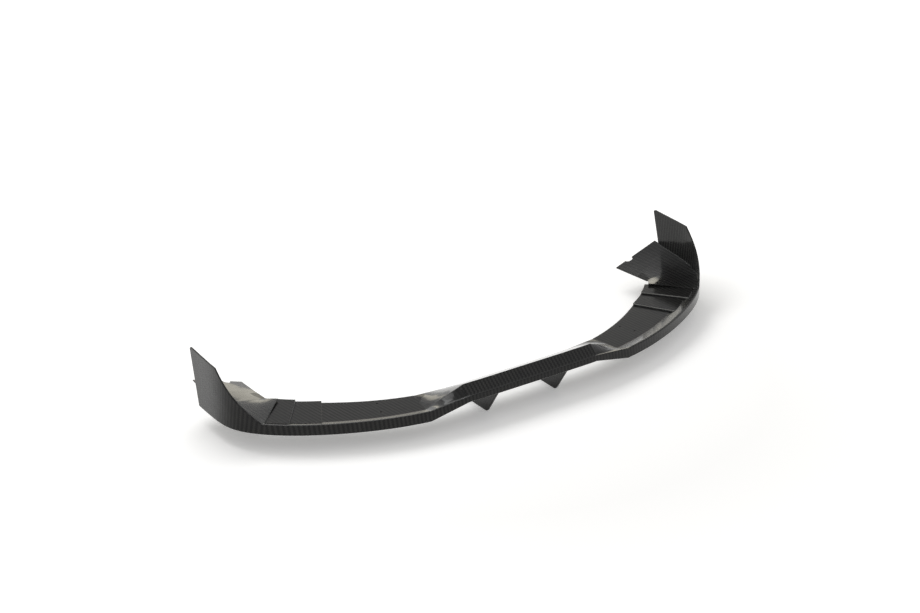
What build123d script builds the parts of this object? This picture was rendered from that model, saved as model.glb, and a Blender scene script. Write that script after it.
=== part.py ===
# Bumper lip valance: one moulded shell with a rim, a flange, two end winglets and two fins.
# Millimetres, +X across the car, the convex side faces -Y, +Z up, x = 0 on the symmetry plane.
import os

from build123d import *

os.makedirs("parts", exist_ok=True)

# Plan of the rim, right half, from the middle of the front to the end of the arm
front_y = -280.0
rear_y = 280.0
shoulder_x = 500.0
shoulder_y = -228.0
corner_x = 864.0
corner_y = 30.0
half_width = 874.0
end_splay = -0.04

# Laminate and edges
wall = 3.0
plate = 5.0
edge_round = 2.0
rim_land = 7.0

# Heights of the rim's bottom edge, its top edge, the crease or crest behind it and the inner edge
centre_bottom = 90.0
centre_top = 110.0
centre_crest = 137.0
centre_inner = 76.0
side_bottom = 58.0
side_top = 92.0
side_flange = 76.0

# Distance of the crease and the inner edge from the rim
centre_crease = 36.0
side_crease = 50.0
centre_width = 150.0
side_width = 178.0
tongue = 12.0

# Stations along the rim
panel_end = 235.0
ramp_end = 365.0
wing_length = 345.0
step_gap = 100.0
step_lead = 165.0

# Winglet outline seen from the side
wing_top = 243.0
wing_rise = 6.0
wing_crest = 165.0
wing_slope = 150.0
wing_lean = 42.0
wing_corner = 7.0
wing_heel = 22.0
wing_thick = 4.5

# Steps in the arm flange and the slanted shelf above it
step_height = 6.0
riser = 5.0
shelf_lead = 5.0
shelf_cover = 22.0
shelf_front = 90.0
shelf_lip = 97.0
shelf_outer = 132.0
shelf_tip = 80.0
shelf_width = 165.0
shelf_setback = 4.0
shelf_seat = 1.5
step_inset = 34.0
step_deep = 20.0
notch_place = 52.0
notch_round = 13.0

# Fins under the raised centre
fin_x = 127.0
fin_thick = 6.0
fin_front = 7.0
fin_toe = 72.0
fin_foot = 190.0
fin_back = 140.0
fin_round = 14.0

# Slots in the panel edge above the fins and the screw holes
slot_width = 11.0
slot_depth = 2.0
slot_place = 0.0
slot_run = 12.0
screw_d = 6.5
screw_station = 505.0
screw_front = 82.0
screw_back = 138.0

# Rim line in plan
with BuildLine() as rim_line:
    rim = Spline(
        [(0, front_y), (shoulder_x, shoulder_y), (corner_x, corner_y), (half_width, rear_y)],
        tangents=[(1, 0), (end_splay, 1)],
    )

rim_length = rim.length
wing_start = rim_length - wing_length
step_one = wing_start - step_lead
step_two = step_one + step_gap
shelf_start = wing_start + shelf_lead


# Plane across the rim at a distance along it, local x inward and local y up
def across(station):
    share = station / rim_length
    spot = rim.position_at(share)
    along = rim.tangent_at(share)
    return Plane(origin=(spot.X, spot.Y, 0), x_dir=(-along.Y, along.X, 0), z_dir=(along.X, along.Y, 0))


# Plan position at a distance along the rim and a distance inward from it
def inward(station, offset):
    spot = across(station).from_local_coords(Vector(offset, 0, 0))
    return (spot.X, spot.Y)


# Hook-shaped outline: flange tongue, blade, rim, outer face and the way back underneath
def hook(bottom, top, flange, inner, crease, width):
    Polyline(
        (width, inner),
        (crease, flange),
        (rim_land, top),
        (edge_round, top),
        (0, top - edge_round),
        (0, bottom + edge_round),
        (edge_round, bottom),
        (edge_round + wall, bottom),
        (edge_round + wall, top - 2 * wall),
        (rim_land + wall, top - 1.5 * wall),
        (crease, flange - wall),
        (width, inner - wall),
        close=True,
    )


# The same outline with the winglet standing on the rim
def winged(bottom, top, flange, crease, width):
    Polyline(
        (width, flange),
        (crease, flange),
        (rim_land, top),
        (wing_thick, top + wall),
        (wing_thick, wing_top + 4 * wing_rise),
        (0, wing_top + 4 * wing_rise),
        (0, bottom + edge_round),
        (edge_round, bottom),
        (edge_round + wall, bottom),
        (edge_round + wall, top - 2 * wall),
        (rim_land + wall, top - 1.5 * wall),
        (crease, flange - wall),
        (width, flange - wall),
        close=True,
    )


# Slab outline between the rim and the inner edge of the shelf, at a share of the shelf's length
def slab(share):
    outer = shelf_front + (shelf_outer - shelf_front) * share
    inner = shelf_lip + (shelf_tip - shelf_lip) * share
    Polyline(
        (shelf_seat, outer),
        (shelf_width, inner),
        (shelf_width, inner - wall),
        (shelf_seat, outer - wall),
        close=True,
    )


# Piece of the rim line between two stations
def run(start, stop):
    return rim.trim(start / rim_length, stop / rim_length)


# Closed plan outline of a strip of the flange between two stations
def strip(start, stop, outer_edge, inner_start, inner_stop):
    piece = (stop - start) / 3
    change = (inner_stop - inner_start) / 3
    outer = [inward(start + piece * k, outer_edge) for k in range(4)]
    inner = [inward(start + piece * k, inner_start + change * k) for k in range(4)]
    Spline(outer)
    Line(outer[-1], inner[-1])
    Spline(inner[::-1])
    Line(inner[0], outer[0])


centre = (centre_bottom, centre_top, centre_crest, centre_inner, centre_crease, centre_width)
ramp_foot = (side_bottom, side_top, side_flange, side_flange, side_crease, centre_width)
side = (side_bottom, side_top, side_flange, side_flange, side_crease, side_crease + tongue)

with BuildPart() as valance:
    # Raised centre
    with BuildSketch(across(0)):
        with BuildLine():
            hook(*centre)
        make_face()
    sweep(path=run(0, panel_end))

    # Ramp from the raised centre down to the arm
    with BuildSketch(across(panel_end)):
        with BuildLine():
            hook(*centre)
        make_face()
    with BuildSketch(across(ramp_end)):
        with BuildLine():
            hook(*ramp_foot)
        make_face()
    loft()

    # Rim and blade of the arm
    with BuildSketch(across(ramp_end)):
        with BuildLine():
            hook(*side)
        make_face()
    sweep(path=run(ramp_end, wing_start))

    # Arm end with its winglet, cut to the outline seen from the side
    with BuildPart(mode=Mode.PRIVATE) as wing:
        with BuildSketch(across(wing_start)):
            with BuildLine():
                winged(side_bottom, side_top, side_flange, side_crease, side_crease + tongue)
            make_face()
        sweep(path=run(wing_start, rim_length))
        with BuildSketch(Plane.YZ) as outline:
            foot_y = rear_y - wing_lean
            crest_y = rear_y - wing_crest
            with BuildLine():
                Polyline(
                    (front_y, -wing_top),
                    (front_y, side_top),
                    (crest_y - wing_slope, side_top),
                    (crest_y, wing_top - wing_rise),
                    (rear_y, wing_top),
                    (foot_y, side_bottom),
                    (foot_y - wing_lean, -wing_top),
                    close=True,
                )
            make_face()
            fillet(outline.vertices().sort_by(Axis.Y)[-1], wing_corner)
        extrude(amount=2 * half_width, mode=Mode.INTERSECT)
    add(wing.part)

    # Flat arm flange
    flange_low = side_flange + 1 - plate
    with BuildSketch(Plane.XY.offset(flange_low)):
        with BuildLine():
            strip(ramp_end - riser, step_one, side_crease - 4, centre_width, side_width)
        make_face()
    extrude(amount=plate)

    # First step of the flange, with its riser
    with BuildSketch(Plane.XY.offset(flange_low + step_height)):
        with BuildLine():
            strip(step_one, step_two, step_inset, side_width, side_width)
        make_face()
    extrude(amount=plate)
    with BuildSketch(Plane.XY.offset(flange_low)):
        with BuildLine():
            strip(step_one - riser, step_one, step_inset, side_width, side_width)
        make_face()
    extrude(amount=step_height + plate)

    # Second step, which ends under the shelf
    with BuildSketch(Plane.XY.offset(flange_low + 2 * step_height)):
        with BuildLine():
            strip(step_two, shelf_start + shelf_cover, step_deep, side_width, side_width)
        make_face()
    extrude(amount=plate)
    with BuildSketch(Plane.XY.offset(flange_low + step_height)):
        with BuildLine():
            strip(step_two - riser, step_two, step_deep, side_width, side_width)
        make_face()
    extrude(amount=step_height + plate)

    # Twisted shelf at the end of the arm, with a notch in its end edge
    shelf_length = rim_length - shelf_setback - shelf_start
    with BuildPart(mode=Mode.PRIVATE) as shelf:
        for fold in range(5):
            with BuildSketch(across(shelf_start + shelf_length * fold / 4)):
                with BuildLine():
                    slab(fold / 4)
                make_face()
        loft(ruled=True)
    add(shelf.part)
    with BuildSketch(Plane.XY.offset(shelf_tip - plate)):
        with Locations(inward(rim_length - shelf_setback, shelf_width - notch_place)):
            Circle(notch_round)
    extrude(amount=shelf_outer - shelf_tip, mode=Mode.SUBTRACT)

    # Fin, with its root let into the shell
    with BuildSketch(Plane.YZ.offset(fin_x - fin_thick / 2)) as fin:
        fin_y = inward(fin_x, 0)[1]
        fall = (centre_crest - centre_inner) / (centre_width - centre_crease)
        back_z = centre_crest - fall * (fin_back - centre_crease) - wall / 2
        with BuildLine():
            Polyline(
                (fin_y + fin_front, centre_bottom + wall),
                (fin_y + fin_toe, 0),
                (fin_y + fin_toe + fin_foot, 0),
                (fin_y + fin_back, back_z),
                (fin_y + centre_crease, centre_crest - wall / 2),
                (fin_y + rim_land + wall, centre_top - wall),
                (fin_y + fin_front, centre_top - wall),
                close=True,
            )
        make_face()
        fillet(fin.vertices().group_by(Axis.Z)[0].sort_by(Axis.Y)[0], fin_round)
    extrude(amount=fin_thick)

    # Slot in the panel edge above the fin
    with BuildSketch(Plane.XZ.offset(-fin_y)):
        with Locations((fin_x - slot_place, centre_crest)):
            Rectangle(slot_width, 2 * slot_depth)
    extrude(amount=-(centre_crease + slot_run), mode=Mode.SUBTRACT)

    # Screw holes in the flange
    with BuildSketch(Plane.XY.offset(side_flange + 2)):
        with Locations(inward(screw_station, screw_front), inward(screw_station, screw_back)):
            Circle(screw_d / 2)
    extrude(amount=-2 * plate, mode=Mode.SUBTRACT)

    mirror(about=Plane.YZ)

# The origin goes to the middle of the box, at its bottom
box = valance.part.bounding_box()
centred = valance.part.moved(Location((0, -box.center().Y, -box.min.Z)))
centred.label = "valance"
export_step(centred, "parts/valance.step")
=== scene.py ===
import math

import bmesh
import bpy
from mathutils import Matrix, Vector


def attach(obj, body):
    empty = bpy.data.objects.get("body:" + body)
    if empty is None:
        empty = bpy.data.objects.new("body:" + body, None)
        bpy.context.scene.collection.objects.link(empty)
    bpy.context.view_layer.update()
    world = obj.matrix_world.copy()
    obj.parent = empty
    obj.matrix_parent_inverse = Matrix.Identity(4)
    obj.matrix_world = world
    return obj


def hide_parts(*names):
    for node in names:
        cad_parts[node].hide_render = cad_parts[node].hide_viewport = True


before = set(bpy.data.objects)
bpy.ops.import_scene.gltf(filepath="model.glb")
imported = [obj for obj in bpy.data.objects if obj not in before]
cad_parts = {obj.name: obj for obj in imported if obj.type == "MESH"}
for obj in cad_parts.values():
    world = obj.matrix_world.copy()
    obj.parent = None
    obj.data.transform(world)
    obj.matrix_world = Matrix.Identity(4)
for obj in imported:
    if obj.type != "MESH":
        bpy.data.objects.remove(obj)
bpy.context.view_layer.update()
scene = bpy.context.scene
scene.view_settings.view_transform = "Standard"


# Cloth of the lip: carbon tows woven two over, two under.
# It is laid on the bias, so that the ribs of the twill run up the walls,
# and the group gives a rib mask and the round crown of each tow.
def add(tree, kind, inputs=(), **settings):
    node = tree.nodes.new(kind)
    for name, value in settings.items():
        setattr(node, name, value)
    for place, value in enumerate(inputs):
        if isinstance(value, bpy.types.NodeSocket):
            tree.links.new(value, node.inputs[place])
        elif value is not None:
            node.inputs[place].default_value = value
    return node


def maths(tree, operation, *inputs):
    return add(tree, "ShaderNodeMath", inputs, operation=operation).outputs[0]


def either(tree, mask, without, with_it):
    choice = add(tree, "ShaderNodeMix", (mask, None, without, with_it), data_type="FLOAT")
    return choice.outputs[0]


def blend_colour(tree, mask, without, with_it):
    choice = add(tree, "ShaderNodeMix", (mask,), data_type="RGBA")
    for place, colour in ((6, without), (7, with_it)):
        if isinstance(colour, bpy.types.NodeSocket):
            tree.links.new(colour, choice.inputs[place])
        else:
            choice.inputs[place].default_value = (*colour, 1)
    return choice.outputs[2]


rib_slant = 0.12
tows_in_repeat = 4.0
rib_share = 1.5

twill = bpy.data.node_groups.new("twill", "ShaderNodeTree")
for name in ("Run", "Rise", "Tow"):
    twill.interface.new_socket(name, in_out="INPUT", socket_type="NodeSocketFloat")
for name in ("Rib", "Crown"):
    twill.interface.new_socket(name, in_out="OUTPUT", socket_type="NodeSocketFloat")
entry = add(twill, "NodeGroupInput")
leave = add(twill, "NodeGroupOutput")
run, rise, tow = entry.outputs[0], entry.outputs[1], entry.outputs[2]
slant = maths(twill, "ADD", run, maths(twill, "MULTIPLY", rise, rib_slant))
warp = maths(twill, "DIVIDE", maths(twill, "ADD", slant, rise), tow)
weft = maths(twill, "DIVIDE", maths(twill, "SUBTRACT", slant, rise), tow)
count = maths(twill, "ADD", maths(twill, "FLOOR", warp), maths(twill, "FLOOR", weft))
in_repeat = maths(twill, "FLOORED_MODULO", count, tows_in_repeat)
rib = maths(twill, "LESS_THAN", in_repeat, rib_share)
weft_crown = maths(twill, "PINGPONG", weft, 0.5)
warp_crown = maths(twill, "PINGPONG", warp, 0.5)
twill.links.new(rib, leave.inputs[0])
twill.links.new(either(twill, rib, weft_crown, warp_crown), leave.inputs[1])

# The lip: one carbon laminate moulding, black resin under a thick gloss coat.
# The flange that goes under the bumper skin is left duller than the show faces,
# and the upper edges of the steps on it are painted pale: a painted highlight where their
# rounded edges catch the light.
tow_width = 0.0062
lying_normal = 0.75
flat_weave_fade = 0.55
flange_normal = 0.98
flange_low, flange_high = 0.0735, 0.0905
flange_top, step_height = 0.0770, 0.0060
step_low, step_high = 0.0775, 0.0893
# Where each step edge turns pale, and its colour: a painted highlight, not a resin colour.
painted_highlight_from = 0.45
painted_step_highlight_colour = (0.30, 0.30, 0.29)
dark_tow = ((0.0020, 0.0020, 0.0022), (0.0050, 0.0050, 0.0048))
light_tow = ((0.012, 0.012, 0.0115), (0.030, 0.0295, 0.028))
edge_radius = 0.004

carbon = bpy.data.materials.new("carbon_laminate")
carbon.use_nodes = True
tree = carbon.node_tree
tree.nodes.clear()
coords = add(tree, "ShaderNodeTexCoord")
x, y, z = add(tree, "ShaderNodeSeparateXYZ", (coords.outputs["Object"],)).outputs
face_x, face_y, face_z = add(tree, "ShaderNodeSeparateXYZ", (coords.outputs["Normal"],)).outputs
side_on = maths(tree, "ABSOLUTE", face_x)
end_on = maths(tree, "ABSOLUTE", face_y)
upright = maths(tree, "ABSOLUTE", face_z)

# Weave: floors and tops of the lip use X and Y, its walls their own run and Z.
# It shows less on the level faces, where the cloth is seen at a low angle.
lying = maths(tree, "GREATER_THAN", upright, lying_normal)
wall_run = either(tree, maths(tree, "GREATER_THAN", side_on, end_on), x, y)
weave = add(tree, "ShaderNodeGroup", node_tree=twill)
tree.links.new(either(tree, lying, wall_run, x), weave.inputs["Run"])
tree.links.new(either(tree, lying, z, y), weave.inputs["Rise"])
weave.inputs["Tow"].default_value = tow_width
cloud = add(tree, "ShaderNodeTexNoise", (coords.outputs["Object"],))
cloud.inputs["Scale"].default_value = 38.0
cloud.inputs["Detail"].default_value = 4.0
patchy = cloud.outputs[0]
show = maths(tree, "SUBTRACT", 1.0, maths(tree, "MULTIPLY", lying, flat_weave_fade))
ribs = maths(tree, "MULTIPLY", weave.outputs["Rib"], show)
cloth = blend_colour(
    tree, ribs, blend_colour(tree, patchy, *dark_tow), blend_colour(tree, patchy, *light_tow)
)

# Steps: their risers face the middle of the car and forward.
# The upper part of each riser is painted pale, a painted highlight of its rounded edge.
inward = maths(tree, "LESS_THAN", maths(tree, "MULTIPLY", face_x, x), 0.0)
forward = maths(tree, "LESS_THAN", face_y, -0.2)
steep = maths(tree, "LESS_THAN", upright, 0.85)
riser = maths(tree, "MULTIPLY", maths(tree, "MULTIPLY", inward, forward), steep)
above_flange = maths(tree, "GREATER_THAN", z, step_low)
below_shelf = maths(tree, "LESS_THAN", z, step_high)
on_steps = maths(tree, "MULTIPLY", above_flange, below_shelf)
steps_up = maths(tree, "DIVIDE", maths(tree, "SUBTRACT", z, flange_top), step_height)
painted_highlight_band = maths(tree, "GREATER_THAN", maths(tree, "FRACT", steps_up), painted_highlight_from)
painted_step_highlight = maths(tree, "MULTIPLY", maths(tree, "MULTIPLY", riser, on_steps), painted_highlight_band)
# The pale step edges are a painted highlight laid over the cloth.
cloth_and_painted_highlight = blend_colour(tree, painted_step_highlight, cloth, painted_step_highlight_colour)

# Coat: gloss over all of the lip, thinner on the dull flange.
# Edges are rounded in the shading only as far as the sprayed coat rounds them.
level = maths(tree, "GREATER_THAN", face_z, flange_normal)
over_low = maths(tree, "GREATER_THAN", z, flange_low)
under_high = maths(tree, "LESS_THAN", z, flange_high)
dull = maths(tree, "MULTIPLY", maths(tree, "MULTIPLY", over_low, under_high), level)
soft_edge = add(tree, "ShaderNodeBevel", (edge_radius,), samples=4).outputs[0]
tow_bump = add(tree, "ShaderNodeBump")
tow_bump.inputs["Strength"].default_value = 0.18
tow_bump.inputs["Distance"].default_value = 0.0005
tree.links.new(soft_edge, tow_bump.inputs["Normal"])
tree.links.new(weave.outputs["Crown"], tow_bump.inputs["Height"])
uneven = maths(tree, "ADD", maths(tree, "MULTIPLY", patchy, 0.10), 0.26)
rough = maths(tree, "ADD", maths(tree, "MULTIPLY", dull, 0.24), uneven)
coat = maths(tree, "SUBTRACT", 1.0, maths(tree, "MULTIPLY", dull, 0.45))
skin = add(tree, "ShaderNodeBsdfPrincipled")
tree.links.new(cloth_and_painted_highlight, skin.inputs["Base Color"])
tree.links.new(rough, skin.inputs["Roughness"])
tree.links.new(coat, skin.inputs["Coat Weight"])
tree.links.new(tow_bump.outputs[0], skin.inputs["Normal"])
tree.links.new(soft_edge, skin.inputs["Coat Normal"])
skin.inputs["Specular IOR Level"].default_value = 0.02
skin.inputs["Coat IOR"].default_value = 1.28
skin.inputs["Coat Roughness"].default_value = 0.11
add(tree, "ShaderNodeOutputMaterial", (skin.outputs[0],))

# Shell: a merged copy of the solid, so that its curved faces shine evenly.
# Creases stay sharp, and only the twisted shelf is smoothed over wider angles.
crease_angle, shelf_angle = math.radians(10), math.radians(30)
shelf_front, shelf_low, shelf_inner = -0.02, 0.0785, 0.55

lip_shape = bmesh.new()
lip_shape.from_mesh(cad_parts["valance"].data)
bmesh.ops.remove_doubles(lip_shape, verts=lip_shape.verts, dist=1e-6)
for face in lip_shape.faces:
    face.smooth = True
for edge in lip_shape.edges:
    middle = (edge.verts[0].co + edge.verts[1].co) / 2
    on_shelf = middle.y > shelf_front and middle.z > shelf_low and abs(middle.x) > shelf_inner
    limit = shelf_angle if on_shelf else crease_angle
    edge.smooth = edge.is_manifold and edge.calc_face_angle(0.0) < limit
lip_mesh = bpy.data.meshes.new("lip")
lip_shape.to_mesh(lip_mesh)
lip_shape.free()
lip_mesh.materials.append(carbon)
lip = bpy.data.objects.new("lip", lip_mesh)
scene.collection.objects.link(lip)
even_shine = lip.modifiers.new("even_shine", "WEIGHTED_NORMAL")
even_shine.mode = "FACE_AREA"
even_shine.weight = 100
even_shine.keep_sharp = True
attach(lip, "root")
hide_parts("valance")


# Floor: a wide sheet of white paper that the fins stand on.
# The camera and the gloss coat see it white, and the lip's soft shadow stays on it.
# Its glow is weaker near the lip, a painted shade that greys the paper around it.
def background_rays(tree):
    rays = add(tree, "ShaderNodeLightPath")
    seen = maths(tree, "MAXIMUM", rays.outputs["Is Camera Ray"], rays.outputs["Is Glossy Ray"])
    return maths(tree, "MAXIMUM", seen, rays.outputs["Is Transmission Ray"])


# Glow cut down near the lip: painted shade on the paper around it.
painted_shade_radius, unlit_radius = 0.9, 3.0
painted_shade_lift, lift_far = 0.27, 0.80

paper_shape = bmesh.new()
bmesh.ops.create_grid(paper_shape, x_segments=1, y_segments=1, size=40)
paper_mesh = bpy.data.meshes.new("floor")
paper_shape.to_mesh(paper_mesh)
paper_shape.free()
floor = bpy.data.objects.new("floor", paper_mesh)
scene.collection.objects.link(floor)
paper = bpy.data.materials.new("white_paper")
paper.use_nodes = True
sheet = paper.node_tree
sheet.nodes.clear()
matt = add(sheet, "ShaderNodeBsdfDiffuse")
matt.inputs["Color"].default_value = (0.93, 0.93, 0.93, 1)
ground = add(sheet, "ShaderNodeTexCoord").outputs["Object"]
reach = add(sheet, "ShaderNodeVectorMath", (ground,), operation="LENGTH").outputs["Value"]
painted_shade_fall_off = (reach, painted_shade_radius, unlit_radius, painted_shade_lift, lift_far)
floor_lift_with_painted_shade = add(sheet, "ShaderNodeMapRange", painted_shade_fall_off).outputs[0]
glow = add(sheet, "ShaderNodeEmission")
sheet.links.new(maths(sheet, "MULTIPLY", background_rays(sheet), floor_lift_with_painted_shade), glow.inputs["Strength"])
both = add(sheet, "ShaderNodeAddShader", (matt.outputs[0], glow.outputs[0]))
add(sheet, "ShaderNodeOutputMaterial", (both.outputs[0],))
paper_mesh.materials.append(paper)


# Light: a pale room, dimmer and warmer behind the lip, with a broad lamp
# above the open side and a low warm panel behind the far arm.
def area_lamp(name, size, energy, colour, location, aim):
    light = bpy.data.lights.new(name, "AREA")
    light.shape = "RECTANGLE"
    light.size, light.size_y = size
    light.energy = energy
    light.color = colour
    lamp = bpy.data.objects.new(name, light)
    lamp.location = location
    lamp.rotation_euler = (Vector(aim) - lamp.location).to_track_quat("-Z", "Y").to_euler()
    scene.collection.objects.link(lamp)


area_lamp("softbox", (2.8, 1.6), 46, (1.0, 1.0, 1.0), (-0.3, 1.3, 2.5), (0, 0, 0))
area_lamp("warm_panel", (2.4, 0.6), 9, (1.0, 0.93, 0.74), (1.6, 2.7, 1.0), (0.7, 0, 0.1))

front_wall = (0.56, 0.56, 0.56)
back_wall = (0.36, 0.35, 0.32)
white = (1, 1, 1)

room = bpy.data.worlds.new("white_room")
scene.world = room
room.use_nodes = True
walls = room.node_tree
walls.nodes.clear()
way = add(walls, "ShaderNodeTexCoord").outputs["Generated"]
toward = add(walls, "ShaderNodeSeparateXYZ", (way,)).outputs[1]
behind = add(walls, "ShaderNodeMapRange", (toward, -0.3, 0.7, 0.0, 1.0)).outputs[0]
tint = blend_colour(walls, behind, front_wall, back_wall)
shown = blend_colour(walls, background_rays(walls), tint, white)
backdrop = add(walls, "ShaderNodeBackground", (shown,))
add(walls, "ShaderNodeOutputWorld", (backdrop.outputs[0],))

# Camera: a long lens from the front left, looking down on the lip,
# with a slight roll, as in the photograph.
azimuth, elevation, roll = math.radians(-33), math.radians(25), math.radians(-1.5)
target, distance = Vector((-0.083, 0.0, 0.260)), 9.0
level_right = Vector((math.cos(azimuth), math.sin(azimuth), 0))
level_back = Vector((math.sin(azimuth), -math.cos(azimuth), 0))
back = level_back * math.cos(elevation) + Vector((0, 0, math.sin(elevation)))
level_up = back.cross(level_right)
right = level_right * math.cos(roll) + level_up * math.sin(roll)
up = level_up * math.cos(roll) - level_right * math.sin(roll)
lens = bpy.data.cameras.new("camera")
lens.lens = 115.0
lens.sensor_width = 36
camera = bpy.data.objects.new("camera", lens)
turned = Matrix((right, up, back)).transposed().to_4x4()
camera.matrix_world = Matrix.Translation(target + back * distance) @ turned
scene.collection.objects.link(camera)
scene.camera = camera
